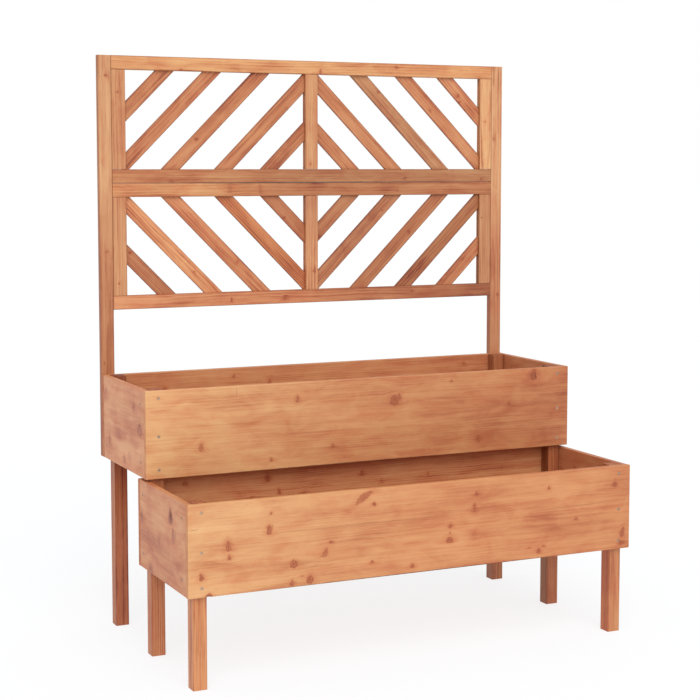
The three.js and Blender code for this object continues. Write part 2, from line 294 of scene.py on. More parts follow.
# ---------------------------------------------------------------- stained softwood
def make_wood(name, deep):
    """The wood. Deep relief follows the knots and cracks too; a board with many knots does without it."""
    nt, t, gi, go = group(
        name,
        [("Vector", VEC, None), ("Seed", VAL, 0.0), ("Pith depth", VAL, 0.05), ("Pith across", VAL, 0.0),
         ("Ring", VAL, 0.0034), ("Wander", VAL, 0.006), ("Contrast", VAL, 1.0), ("Tone", VAL, 0.45),
         ("Drift", VAL, 0.0), ("Red", VAL, 0.0), ("End", VAL, 0.0), ("Warp", VAL, 0.0), ("Mask", VAL, 0.0),
         ("Distance", VAL, 9.0), ("Halo", VAL, 0.0), ("Dark", VAL, 0.0), ("Streak", VAL, 1.0), ("Cloud", VAL, 1.0),
         ("Tint", COL, (1, 1, 1, 1)), ("Edge", VAL, 0.0), ("Edge tint", COL, (1, 1, 1, 1)),
         ("Rim", VAL, 0.0)],
        [("Color", COL), ("Roughness", VAL), ("Height", VAL)],
    )
    g = {o.name: F(t, o) for o in gi.outputs if o.name}
    u, v, w = t.split(gi.outputs["Vector"])
    seed = g["Seed"]
    s1, s2, s3 = seed * 1.37, seed * 2.11, seed * 0.73
    wv = w + g["Warp"]
    # The pith wanders slowly along the piece, so that the rings draw long arches on the faces.
    slow = t.noise(t.xyz(u * 1.6 + s1, v * 2.0, wv * 2.0 + s2), 1.0, 2.0) - 0.5
    slow2 = t.noise(t.xyz(u * 4.5 + s2, v * 6.0 + s3, wv * 7.0), 1.0, 2.0) - 0.5
    quick_ = t.noise(t.xyz(u * 22.0 + s3, v * 70.0, wv * 70.0 + s1), 1.0, 2.0) - 0.5
    dv = v - g["Pith depth"] + slow * g["Wander"] * 2.2
    dw = wv - g["Pith across"] + slow2 * g["Wander"] + quick_ * 0.0012
    radius = t.math("SQRT", dv * dv + dw * dw)
    ring = radius / g["Ring"] + quick_ * 0.35
    number = t.math("FLOOR", ring)
    part_ = t.math("FRACT", ring)
    wn = t.node("ShaderNodeTexWhiteNoise", noise_dimensions="1D")
    t.put(wn.inputs["W"], number + seed)
    own = F(t, wn.outputs["Value"])
    late = t.ramp(part_, 0.30, 0.88) * t.ramp(part_, 0.92, 1.0, 1.0, 0.0) * (own * 0.8 + 0.45)
    # Fibres, wide streaks, blotches where the stain took differently, and short dark dashes.
    fibre = t.noise(t.xyz(u * 16.0 + s2, v * 850.0, wv * 850.0 + s1), 1.0, 3.0, 0.6)
    fine = t.noise(t.xyz(u * 45.0 + s1, v * 2400.0, wv * 2400.0), 1.0, 2.0, 0.5)
    middle = t.noise(t.xyz(u * 9.0 + s3, v * 260.0, wv * 290.0 + s1), 1.0, 3.0, 0.6)
    streak = t.noise(t.xyz(u * 3.2 + s3, v * 60.0, wv * 95.0 + s2), 1.0, 4.0, 0.62)
    wide = t.noise(t.xyz(u * 3.4 + s1, v * 10.0, wv * 15.0 + s3), 1.0, 3.0, 0.55)
    blotch = t.noise(t.xyz(u * 11.0 + s2, v * 22.0 + s1, wv * 24.0), 1.0, 4.0, 0.6, 0.6)
    dash = t.noise(t.xyz(u * 70.0 + s1, v * 900.0, wv * 900.0 + s3), 1.0, 1.0, 0.5)
    dash = t.ramp(dash, 0.68, 0.78)
    # Rings show strongly in places and hardly in others.
    shown = t.ramp(wide + (blotch - 0.5) * 0.5, 0.38, 0.62, 0.45, 1.0)
    tone = (g["Tone"] + g["Drift"] * u
            + (late - 0.32) * shown * 0.30 * g["Contrast"]
            + (streak - 0.5) * 0.80 * g["Streak"]
            + (middle - 0.5) * 0.66 * g["Streak"]
            + (wide - 0.5) * 0.62 * g["Cloud"]
            + (fibre - 0.5) * 0.55 * t.math("MINIMUM", g["Streak"], 1.0)
            + (fine - 0.5) * 0.18
            + (blotch - 0.5) * 0.55 * g["Cloud"]
            + dash * 0.12
            + g["Halo"] * 0.20
            + g["End"] * 0.06)
    base = t.colours(tone, [
        (0.0, (0.800, 0.440, 0.215)),
        (0.25, (0.735, 0.365, 0.170)),
        (0.5, (0.640, 0.280, 0.125)),
        (0.75, (0.500, 0.185, 0.080)),
        (1.0, (0.300, 0.085, 0.038)),
    ])
    redness = t.ramp(blotch + (streak - 0.5) * 0.6 + g["Halo"] * 0.30 + g["Red"], 0.40, 0.78)
    base = t.mix(redness * 0.60, base, t.mix(1.0, base, (1.0, 0.78, 0.76), "MULTIPLY"))
    # Knots: streaky, darkest in the middle and along the outline.
    flame = t.noise(t.xyz(u * 430.0 + s1, v * 30.0, w * 120.0 + s3), 1.0, 2.0, 0.55)
    outline = t.ramp(g["Distance"], 0.50, 0.88) * t.ramp(g["Distance"], 0.88, 1.15, 1.0, 0.0)
    knot_tone = t.ramp(g["Distance"], 0.0, 0.95, 0.60, 0.12) + (0.55 - flame) * 0.75 + outline * 0.42
    knot_col = t.colours(knot_tone, [
        (0.0, (0.590, 0.205, 0.088)),
        (0.35, (0.480, 0.138, 0.056)),
        (0.7, (0.310, 0.078, 0.032)),
        (1.0, (0.145, 0.038, 0.018)),
    ])
    base = t.mix(g["Mask"] * t.ramp(flame, 0.34, 0.70, 1.0, 0.86), base, knot_col)
    base = t.mix(g["Dark"], base, (0.110, 0.034, 0.017))
    base = t.mix(g["End"] * 0.6, base, t.mix(1.0, base, (0.88, 0.69, 0.67), "MULTIPLY"))
    # Painted light and shade on the faces that Edge picks out.
    base = t.mix(g["Edge"], base, t.mix(1.0, base, gi.outputs["Edge tint"], "MULTIPLY"))
    # Painted shade along the long edges (Rim).
    base = t.mix(g["Rim"], base, t.mix(1.0, base, (0.42, 0.27, 0.20), "MULTIPLY"))
    base = t.mix(1.0, base, gi.outputs["Tint"], "MULTIPLY")
    t.put(go.inputs["Color"], base)
    rough = (fibre - 0.5) * 0.30 + (streak - 0.5) * 0.12 + 0.50 + g["Mask"] * -0.06 + g["Dark"] * 0.3 + g["End"] * 0.15
    t.put(go.inputs["Roughness"], t.math("MAXIMUM", t.math("MINIMUM", rough, 0.95), 0.3))
    planed = t.noise(t.xyz(u * 14.0 + s1, v * 20.0, w * 16.0 + s2), 1.0, 2.0)
    if deep:
        height = ((fibre - 0.5) * 0.00016 + (fine - 0.5) * 0.00006 + late * 0.00005
                  + g["Mask"] * 0.00018 - g["Dark"] * 0.0009 + planed * 0.0006)
    else:
        fibre = t.noise(t.xyz(u * 16.0 + s2, v * 850.0, w * 850.0 + s1), 1.0, 3.0, 0.6)
        height = (fibre - 0.5) * 0.00018 + planed * 0.0006
    t.put(go.inputs["Height"], height)
    return nt


WOOD = make_wood("stained_softwood", False)
WOOD_DEEP = make_wood("stained_softwood_deep", True)

# ---------------------------------------------------------------- what each piece of wood is like
TURN = {
    "x": (0.0, 0.0, 0.0),
    "y": (0.0, 0.0, -math.pi / 2),
    "z": (0.0, math.pi / 2, 0.0),
    "rise": (0.0, math.pi / 4, 0.0),
    "fall": (0.0, -math.pi / 4, 0.0),
    "flat": (math.pi / 2, 0.0, 0.0),
}


def grain_of(name):
    if "slat" in name:
        return "rise" if ("upper_left" in name or "lower_right" in name) else "fall"
    if "side_board" in name:
        return "y"
    if "bottom_panel" in name:
        return "flat"
    if "leg" in name or "post" in name or "stile" in name:
        return "z"
    return "x"


def seed_of(name):
    return sum(ord(c) * (i + 3) for i, c in enumerate(name)) % 9973


def wood(name, low, high, axis, knots=(), lines=(), middle=0.0, **look):
    """A material for one piece of wood, in that piece's own frame. Knots and lines are in millimetres
    from the piece's middle: (along, across, half along, half across, turn in degrees, strength).
    Middle is the piece's centre line, across, where that isn't the middle of its box."""
    rng = random.Random(seed_of(name))
    turn = TURN[axis]
    matrix = Euler(turn, "XYZ").to_matrix()
    shift = -(matrix @ ((low + high) / 2))
    mat = bpy.data.materials.new("wood_" + name)
    mat.use_nodes = True
    nt = mat.node_tree
    t = Tree(nt)
    bsdf = nt.nodes["Principled BSDF"]
    tc = t.node("ShaderNodeTexCoord")
    mp = t.node("ShaderNodeMapping", vector_type="POINT")
    t.put(mp.inputs["Vector"], tc.outputs["Object"])
    mp.inputs["Rotation"].default_value = turn
    mp.inputs["Location"].default_value = shift
    grain = matrix.transposed() @ Vector((1, 0, 0))
    end = t.math("ABSOLUTE", t.vec("DOT_PRODUCT", tc.outputs["Normal"], tuple(grain)))
    n = t.node("ShaderNodeGroup")
    n.node_tree = WOOD_DEEP if len(knots) < 4 and len(lines) < 3 else WOOD
    if "Edge" in look:
        # Painted light and shade by the way a face points: faces across an axis ("+y"), or all but those across it
        # ("-y"), take the Edge tint, darker where a face turns from the light, lighter where it turns to it.
        which, *rgb = look.pop("Edge")
        across = Vector([1.0 if which[1] == k else 0.0 for k in "xyz"])
        side = t.math("ABSOLUTE", t.vec("DOT_PRODUCT", tc.outputs["Normal"], tuple(across)))
        t.put(n.inputs["Edge"], t.ramp(side, 0.45, 0.85, *((1.0, 0.0) if which[0] == "-" else (0.0, 1.0))))
        n.inputs["Edge tint"].default_value = (*rgb, 1.0)
    t.put(n.inputs["Vector"], mp.outputs[0])
    t.put(n.inputs["End"], t.ramp(end, 0.75, 0.9))
    values = {
        "Seed": rng.uniform(0, 60),
        "Pith depth": rng.choice((-1, 1)) * rng.uniform(0.028, 0.07),
        "Pith across": rng.uniform(-0.05, 0.05),
        "Ring": rng.uniform(0.0028, 0.0042),
        "Wander": rng.uniform(0.004, 0.009),
        "Tone": 0.45 + rng.uniform(-0.05, 0.05),
        "Red": rng.uniform(-0.08, 0.08),
    }
    values.update({k.replace("_", " "): x for k, x in look.items()})
    values["Tint"] = (*values.get("Tint", (1, 1, 1)), 1)
    fade = values.pop("Fade", None)
    rim = values.pop("Rim", None)
    for k, x in values.items():
        n.inputs[k].default_value = x
    along, _, across = t.split(mp.outputs[0])
    if fade:
        # The tint changes along the piece: (from, to, the tint at the far end). On some pieces the darker end is
        # painted shade, as marked where they are listed.
        start, stop, *rgb = fade
        t.put(n.inputs["Tint"], t.mix(t.ramp(along, start, stop, smooth=False), values["Tint"], (*rgb, 1)))
    last = None
    if knots:
        crumple = t.node("ShaderNodeGroup")
        crumple.node_tree = CRUMPLE
        t.put(crumple.inputs["Vector"], mp.outputs[0])
    for a, b, ha, hb, deg, strength in knots:
        k = t.node("ShaderNodeGroup")
        k.node_tree = KNOT
        t.put(k.inputs["Vector"], (last or crumple).outputs["Vector"])
        k.inputs["Centre"].default_value = (a / 1000, 0, b / 1000)
        k.inputs["Turn"].default_value = (0, -math.radians(deg), 0)
        k.inputs["Half"].default_value = (ha / 1000, 50.0, hb / 1000)
        k.inputs["Strength"].default_value = strength
        if last:
            for s in ("Warp", "Mask", "Distance", "Halo"):
                t.put(k.inputs[s], last.outputs[s])
        last = k
    if last:
        for s in ("Warp", "Mask", "Distance", "Halo"):
            t.put(n.inputs[s], last.outputs[s])
    last = None
    if rim:
        # Painted shade along the long edges, on the broad faces: (half width, how wide, how strong).
        edge_at, wide_, strong = rim
        rag = t.noise(t.xyz(along * 30.0, 0.0, across * 200.0 + values["Seed"]), 1.0, 2.0)
        rim_shade = t.ramp(t.math("ABSOLUTE", across - middle) + (rag - 0.5) * wide_, edge_at - wide_, edge_at, 0.0, strong)
        over = t.math("ABSOLUTE", t.vec("DOT_PRODUCT", tc.outputs["Normal"], tuple(matrix.transposed() @ Vector((0, 0, 1)))))
        t.put(n.inputs["Rim"], rim_shade * t.ramp(over, 0.5, 0.9, 1.0, 0.0))
    for a, b, ha, hb, deg, strength in lines:
        k = t.node("ShaderNodeGroup")
        k.node_tree = LINE
        t.put(k.inputs["Vector"], mp.outputs[0])
        k.inputs["Centre"].default_value = (a / 1000, 0, b / 1000)
        k.inputs["Turn"].default_value = (0, -math.radians(deg), 0)
        k.inputs["Half"].default_value = (ha / 1000, 50.0, hb / 1000)
        k.inputs["Strength"].default_value = strength
        if last:
            t.put(k.inputs["Dark"], last.outputs["Dark"])
        last = k
    if last:
        t.put(n.inputs["Dark"], last.outputs["Dark"])
    bump = t.node("ShaderNodeBump")
    bump.inputs["Strength"].default_value = 1.0
    bump.inputs["Distance"].default_value = 1.0
    t.put(bump.inputs["Height"], n.outputs["Height"])
    t.put(bsdf.inputs["Base Color"], n.outputs["Color"])
    t.put(bsdf.inputs["Roughness"], n.outputs["Roughness"])
    t.put(bsdf.inputs["Normal"], bump.outputs[0])
    bsdf.inputs["Specular IOR Level"].default_value = 0.42
    return mat


def spread_knots(name, half_u, half_w, count, size=(3.0, 7.0)):
    """Knots of a face that the photograph doesn't show, spread over it by the piece's own seed."""
    rng = random.Random(seed_of(name) + 11)
    out = []
    for _ in range(count):
        a = rng.uniform(*size)
        out.append((rng.uniform(-half_u, half_u) * 0.95, rng.uniform(-half_w, half_w) * 0.85,
                    a, a * rng.uniform(1.0, 2.0), rng.uniform(-25, 25), rng.uniform(0.5, 0.95)))
    return out


# Lower front board, from its middle at x 550, z 301 (mm in corner coordinates).
LF = [
    (187, 367.5, 3, 3.5, 0, 0.75), (182, 333, 5, 12, 2, 0.95), (188.5, 336, 2.5, 8, -6, 0.6),
    (90, 306, 5.2, 12, 3, 1.0), (91.5, 282, 4.5, 6, 0, 1.0),
    (313.5, 271.5, 5, 10, -22, 0.75), (308, 263, 9, 3, 8, 0.55), (327, 292.3, 3.4, 3, 0, 0.85),
    (238.5, 253, 9, 9, 0, 1.0), (276.5, 215.5, 8, 10, 0, 1.0), (234.5, 211, 5, 6, 0, 1.0), (258, 224, 3, 2.5, 0, 0.6),
    (430, 365.5, 4.5, 4.5, 0, 1.0), (404, 383, 23, 7.5, 33, 0.8),
    (29, 246, 4.5, 8, 8, 1.0), (45.5, 206, 7, 5, 0, 1.0), (425, 238, 3.2, 4, 0, 0.85),
    (686, 367, 3.5, 4.5, 0, 0.95), (681, 335.5, 3.2, 10, 3, 0.85), (680, 271, 7, 12, 0, 0.28),
    (620, 299.5, 4.5, 5.5, 0, 0.9), (617.5, 268, 9, 7.5, 0, 0.9), (619, 284, 3, 4, 0, 0.5), (524.5, 219, 5, 6, 0, 0.9),
    (877.5, 363, 3.5, 5, 0, 0.85), (1058, 357, 4, 7, 0, 0.95), (952, 285, 3.5, 4, 0, 0.95),
    (1081, 242, 6, 12, -15, 0.9), (1078, 217, 7, 6, 20, 0.9), (851, 219, 5, 7, 0, 0.9),
    (863.5, 229, 3.5, 3.5, 0, 0.8), (825.5, 229, 3, 3, 0, 0.7), (222, 207, 65, 6, 0, 0.22),
]
LF = [(x - 550, z - 301, a, b, r, s) for x, z, a, b, r, s in LF]
LF_LINES = [(14 - 550, 347 - 301, 15, 0.9, 4, 0.55), (390 - 550, 323.5 - 301, 310, 2.4, 0, 0.20), (418 - 550, 326 - 301, 24, 1.1, 0, 0.30),
            (330 - 550, 292 - 301, 5, 3, 0, 0.3), (384 - 550, 293 - 301, 60, 1.6, 1, 0.22),
            (950 - 550, 315.5 - 301, 115, 1.6, 1, 0.28), (980 - 550, 340 - 301, 60, 1.4, 1, 0.25),
            # The last line is painted shade along the board's bottom edge.
            (0, -98.4, 570, 2.2, 0, 0.85)]
# Upper front board, middle at x 550, z 505.
UF = [
    (1001, 588, 8, 15, 0, 1.0), (616, 549, 11, 13, 0, 0.85), (629, 556, 4, 9, 10, 0.75), (366, 566, 4, 8, 0, 0.85),
    (845, 440, 6, 9, 0, 0.7), (130, 470, 6, 9, 0, 0.7), (455, 450, 5, 6, 0, 0.6), (930, 520, 3.5, 4, 0, 0.7),
    (770, 585, 3, 3.5, 0, 0.6), (300, 430, 4, 5, 10, 0.7),
]
UF = [(x - 550, z - 505, a, b, r, s) for x, z, a, b, r, s in UF]
# The last of these lines is painted shade along the board's bottom edge.
UF_LINES = [(216 - 550, 590 - 505, 1.0, 15, 0, 0.5), (1006 - 550, 586 - 505, 2.2, 11, -8, 0.5), (0, -98.4, 570, 2.2, 0, 0.85)]
# Left side boards, from their middles at y 166.25 and 438.25.
LL = [
    (110, 357, 13, 19, -6, 1.0), (92, 317, 9, 18, 2, 0.6), (309, 318, 13, 12, 0, 0.75), (186, 287, 8, 11, 0, 0.4),
    (247, 213, 16, 13, 0, 0.7), (43, 235, 10, 6, 0, 0.4), (70, 372, 8, 5, 0, 0.3),
]
LL = [(y - 166.25, z - 301, a, b, r, s) for y, z, a, b, r, s in LL]
LL_LINES = [(107, 357, 12, 17, -6, 0.62), (96, 322, 4, 22, 8, 0.30), (80, 318, 3, 20, 0, 0.30), (311, 320, 6, 5, 0, 0.35),
            (249, 212, 7, 6, 0, 0.35)]
LL_LINES = [(y - 166.25, z - 301, a, b, r, s) for y, z, a, b, r, s in LL_LINES]
UL = [
    (358.5, 558, 9, 9, 0, 0.65), (316, 513, 15, 15, 0, 0.75), (545, 455, 8, 18, 0, 0.5),
    (472.6, 481.5, 10, 9, 12, 0.4), (432, 427, 9, 10, 0, 0.65), (393, 440, 14, 12, 0, 0.25),
]
UL = [(y - 438.25, z - 505, a, b, r, s) for y, z, a, b, r, s in UL]
UL_LINES = [(316, 522, 11, 3.5, 0, 0.45), (326, 513, 4, 9, 0, 0.45), (305, 513, 4, 9, 0, 0.35), (312, 500, 5, 4, 0, 0.45),
            (358.5, 558, 4, 5, 0, 0.4), (545, 455, 3.5, 15, 0, 0.25)]
UL_LINES = [(y - 438.25, z - 505, a, b, r, s) for y, z, a, b, r, s in UL_LINES]
KNOTS = {
    "lower_front_board": LF, "upper_front_board": UF, "lower_left_side_board": LL, "upper_left_side_board": UL,
    "upper_right_slat_1": [(-12, 12.5, 3.5, 4.5, 20, 1.0), (2, 4, 3, 4, 0, 0.95)],
    "upper_right_slat_2": [(-39, 8, 4, 3, 0, 0.6), (60, -7, 3, 3, 0, 0.5)],
    "lower_trellis_bottom_rail": [(-217, -3, 2.5, 6, 0, 0.8), (-73.6, -2, 4, 6, 0, 0.75), (285, 4, 3, 4, 0, 0.6)],
    "lower_trellis_top_rail": [(-219.7, 1, 6, 11, 0, 0.35), (-139, 2, 5, 13, 0, 0.4), (240, -4, 3, 4, 0, 0.6)],
    "lower_right_slat_2": [(-76, -9, 9, 5, 20, 0.7), (-118, -6, 7, 4, 10, 0.6)],
    "right_trellis_post": [(1172 - 884, 8, 4, 5, 0, 0.5), (760 - 884, -6, 4, 5, 0, 0.6)],
}
LINES = {
    "lower_front_board": LF_LINES, "upper_front_board": UF_LINES,
    "lower_left_side_board": LL_LINES, "upper_left_side_board": UL_LINES,
    "right_trellis_post": [(1320 - 884, -4.5, 48, 0.7, -0.6, 0.8), (1262 - 884, -4.2, 60, 0.5, -0.4, 0.35)],
    "front_left_leg": [(-105, 8, 95, 1.0, 0.4, 0.42), (-90, -1.5, 105, 0.9, 0, 0.30), (-125, -9, 80, 1.0, -0.4, 0.38),
                       (-60, 12, 60, 0.8, 0, 0.30)],
    "rear_left_leg": [(60, 7, 150, 1.6, 0, 0.30), (-60, -8, 120, 1.2, 0, 0.25)],
    # Painted shade in the seam where the two lattice panels meet, along these two rails.
    "upper_trellis_bottom_rail": [(0, -16.6, 530, 1.5, 0, 0.75)],
    "lower_trellis_top_rail": [(0, 16.6, 530, 1.5, 0, 0.75)],
}
# Painted shade on the lattice pieces' and posts' faces other than their front and back.
SIDE_FACE_SHADE = ("-y", 0.74, 0.56, 0.43)
KIND = {  # looks common to a kind of piece
    # Edge on the front boards is painted light on their top and bottom faces.
    "front_board": dict(Tone=0.38, Contrast=0.42, Wander=0.008, Streak=0.6, Cloud=1.25, Edge=("+z", 1.12, 1.12, 1.10)),
    "back_board": dict(Tone=0.44, Contrast=0.8, Tint=(0.78, 0.70, 0.66)),
    "side_board": dict(Tone=0.42, Contrast=0.25, Streak=0.5, Cloud=1.5, Red=0.08, Tint=(0.80, 0.73, 0.74)),
    # Edge on the legs is painted light and shade on their left and right faces.
    "leg": dict(Tone=0.44, Streak=1.5, Contrast=1.6, Tint=(0.66, 0.54, 0.49), Edge=("+x", 0.97, 0.95, 1.05),
                Rim=(0.016, 0.003, 0.45)),
    "post": dict(Tone=0.36, Contrast=1.3, Tint=(0.80, 0.84, 0.87), Edge=SIDE_FACE_SHADE, Fade=(0.17, -0.03, 0.66, 0.57, 0.555),
                 Rim=(0.016, 0.003, 0.3)),
    "rail": dict(Contrast=1.2, Tone=0.42, Cloud=1.5, Tint=(0.78, 0.73, 0.70), Edge=SIDE_FACE_SHADE, Rim=(0.0165, 0.003, 0.6)),
    "stile": dict(Contrast=1.2, Tone=0.42, Tint=(0.76, 0.74, 0.73), Edge=SIDE_FACE_SHADE, Rim=(0.017, 0.003, 0.35)),
    "slat": dict(Contrast=1.2, Tone=0.46, Streak=1.3, Cloud=1.6, Tint=(0.70, 0.57, 0.53), Edge=SIDE_FACE_SHADE, Rim=(0.017, 0.0035, 0.7)),
    "batten": dict(Tone=0.5, Tint=(0.75, 0.68, 0.66)),
    "bottom_panel": dict(Tone=0.46, Tint=(0.78, 0.72, 0.70)),
}
PIECE = {
    "lower_front_board": dict(Drift=0.12, Tone=0.40, Pith_depth=0.055, Pith_across=-0.03, Ring=0.0036,
                              Tint=(0.86, 0.89, 0.84), Fade=(-0.5, 0.0, 0.775, 0.67, 0.585)),
    "upper_front_board": dict(Drift=0.26, Tone=0.42, Pith_depth=0.06, Pith_across=0.02, Red=0.05,
                              Tint=(0.90, 0.94, 0.89), Fade=(-0.45, 0.45, 0.73, 0.62, 0.535)),
    "lower_left_side_board": dict(Red=0.10, Tint=(0.82, 0.715, 0.705), Cloud=2.0),
    "upper_left_side_board": dict(Red=0.08, Tint=(0.90, 0.84, 0.855)),
    # On the legs, Edge is painted light and shade on the left and right faces: lighter on the left legs, darker on the
    # right legs.
    "front_left_leg": dict(Tint=(0.71, 0.545, 0.465), Streak=2.8, Cloud=1.8, Edge=("+x", 1.07, 1.09, 1.22)),
    "middle_left_leg": dict(Tint=(0.66, 0.52, 0.46), Edge=("+x", 1.08, 1.09, 1.13)),
    # This leg's darker tint, and the darkening towards its top, are painted shade under the boxes.
    "rear_left_leg": dict(Tone=0.5, Tint=(0.52, 0.34, 0.29), Fade=(0.0, 0.12, 0.385, 0.23, 0.19), Edge=("+x", 1.22, 1.38, 1.40)),
    "front_right_leg": dict(Tint=(0.69, 0.595, 0.535), Edge=("+x", 0.98, 0.766, 0.67)),
    "middle_right_leg": dict(Tint=(0.575, 0.43, 0.38), Edge=("+x", 0.62, 0.59, 0.45), Streak=2.0),
    "rear_right_leg": dict(Tint=(0.53, 0.395, 0.345), Edge=("+x", 0.885, 0.85, 0.885)),
    "right_trellis_post": dict(Tone=0.33, Pith_across=0.01, Pith_depth=0.03),
    "upper_trellis_top_rail": dict(Tone=0.40, Tint=(0.86, 0.86, 0.78)),
    # The darker right ends of these two rails (Fade) are partly painted shade of plants, partly the stain's own colour.
    "upper_trellis_bottom_rail": dict(Tone=0.46, Red=0.1, Tint=(0.69, 0.63, 0.57), Fade=(-0.33, -0.03, 0.57, 0.52, 0.48)),
    "lower_trellis_top_rail": dict(Tone=0.46, Tint=(0.81, 0.77, 0.69), Fade=(-0.33, -0.03, 0.60, 0.50, 0.44)),
    "lower_trellis_bottom_rail": dict(Tone=0.44, Drift=0.30, Tint=(0.83, 0.71, 0.69), Fade=(-0.05, 0.5, 0.50, 0.375, 0.335)),
    "upper_trellis_right_stile": dict(Tone=0.34, Pith_across=0.0, Pith_depth=0.022, Ring=0.004,
                                      Contrast=2.0, Cloud=1.4,
                                      Tint=(0.93, 1.04, 1.03), Fade=(-0.1, 0.1, 0.83, 0.835, 0.81)),
    "lower_trellis_right_stile": dict(Tint=(0.67, 0.63, 0.62)),
    # Painted shade: the tint darkens towards the top (Fade) where plants shade this stile, and Edge darkens its sides.
    "lower_trellis_centre_stile": dict(Edge=("-y", 0.81, 0.595, 0.44), Tint=(0.88, 0.92, 0.95), Fade=(-0.05, 0.1, 0.68, 0.62, 0.63)),
    # The darker tints of lower_left_slat_1 and lower_right_slat_2, 3 and 5 are partly painted shade of plants, partly
    # the stain's own colour.
    "lower_left_slat_1": dict(Tint=(0.62, 0.50, 0.47)), "lower_left_slat_2": dict(Tint=(0.915, 0.875, 0.845)),
    "lower_left_slat_3": dict(Tint=(0.80, 0.68, 0.65)), "lower_left_slat_4": dict(Tint=(0.76, 0.58, 0.485)),
    "lower_left_slat_5": dict(Tint=(0.61, 0.465, 0.44)), "upper_right_slat_1": dict(Tint=(0.78, 0.68, 0.665)),
    "upper_right_slat_2": dict(Tint=(0.74, 0.62, 0.59)), "upper_right_slat_3": dict(Tint=(0.645, 0.61, 0.60)),
    "lower_right_slat_2": dict(Tint=(0.54, 0.43, 0.37)), "lower_right_slat_3": dict(Tint=(0.59, 0.455, 0.41)),
    "lower_right_slat_4": dict(Tint=(0.67, 0.60, 0.595)), "lower_right_slat_5": dict(Tint=(0.58, 0.46, 0.43)),
}

# ---------------------------------------------------------------- screws
HEAD_R, SHANK_R, CLEAR = 0.0037, 0.002, 0.0003
pattern_node = NODES["lower_left_top_screw"]
low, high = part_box("lower_left_top_screw")
pattern_origin = Vector(((low.x + high.x) / 2, low.y - 0.0003, (low.z + high.z) / 2))


def grime(name):
    """Dark stain that has run into a screw's recess."""
    mat = bpy.data.materials.new(name)
    mat.use_nodes = True
    t = Tree(mat.node_tree)
    bsdf = mat.node_tree.nodes["Principled BSDF"]
    tc = t.node("ShaderNodeTexCoord")
    a = t.noise(t.vec("MULTIPLY", tc.outputs["Object"], (900, 900, 900)), 1.0, 3.0, 0.6)
    t.put(bsdf.inputs["Base Color"], t.colours(a, [(0.3, (0.060, 0.028, 0.014)), (0.7, (0.150, 0.075, 0.040))]))
    bsdf.inputs["Roughness"].default_value = 0.75
    return mat


# Every face deeper than the head's own face belongs to the recess or lies in the wood.
for name, ob in NODES.items():
    if "screw" in name:
        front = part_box(name)[0].y
        ob.data.polygons.foreach_set("material_index", [int(p_.center.y > front + 0.00035) for p_ in ob.data.polygons])


def facing(direction):
    """A turn that takes +Y, the way a screw goes in, to a direction."""
    return Vector((0, 1, 0)).rotation_difference(Vector(direction)).to_matrix().to_4x4()


def lathe(bm, profile, matrix, segments=24):
    """A closed turned body about +Y from a profile of (radius, y), first and last on the axis."""
    rows = []
    for r, y in profile:
        if r < 1e-9:
            rows.append([bm.verts.new(matrix @ Vector((0, y, 0)))])
        else:
            rows.append([bm.verts.new(matrix @ Vector((r * math.cos(2 * math.pi * k / segments), y,
                                                       r * math.sin(2 * math.pi * k / segments))))
                         for k in range(segments)])
    for a, b in zip(rows, rows[1:]):
        for k in range(segments):
            a0, a1 = a[k % len(a)], a[(k + 1) % len(a)]
            b0, b1 = b[k % len(b)], b[(k + 1) % len(b)]
            face = [x for i, x in enumerate((a0, a1, b1, b0)) if x not in (a0, a1, b1, b0)[:i]]
            if len(face) > 2:
                bm.faces.new(face)


def mesh_object(name, bm, slot, mats, smooth=False):
    bmesh.ops.recalc_face_normals(bm, faces=bm.faces)
    me = bpy.data.meshes.new(name)
    bm.to_mesh(me)
    bm.free()
    for mt in mats:
        me.materials.append(mt)
    if smooth:
        me.polygons.foreach_set("use_smooth", [True] * len(me.polygons))
    ob = bpy.data.objects.new(name, me)
    scene.collection.objects.link(ob)
    if slot:
        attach(ob, "root")
    return ob


def screws_object(name, places, scale=1.0, shade=0.85):
    """Countersunk screws with a cross recess, as the part's own eight, at (point, direction in)."""
    bm = bmesh.new()
    rng = random.Random(seed_of(name))
    for point, direction in places:
        spin = Matrix.Rotation(rng.uniform(0, math.pi / 2), 4, "Y")
        m4 = Matrix.Translation(point) @ facing(direction) @ spin @ Matrix.Scale(scale, 4)
        start = len(bm.verts)
        bm.from_mesh(pattern_node.data)
        bm.verts.ensure_lookup_table()
        for vert in bm.verts[start:]:
            vert.co = m4 @ (vert.co - pattern_origin)
    bmesh.ops.remove_doubles(bm, verts=bm.verts, dist=1e-6)
    return mesh_object(name, bm, "screws", [steel("steel_" + name, shade), grime("grime_" + name)])


CUTTERS = {}


def screw_holes(node, places, scale=1.0):
    """Countersunk holes in a piece of wood, kept for one boolean modifier on it."""
    CUTTERS.setdefault(node, []).extend((p_, d_, scale) for p_, d_ in places)


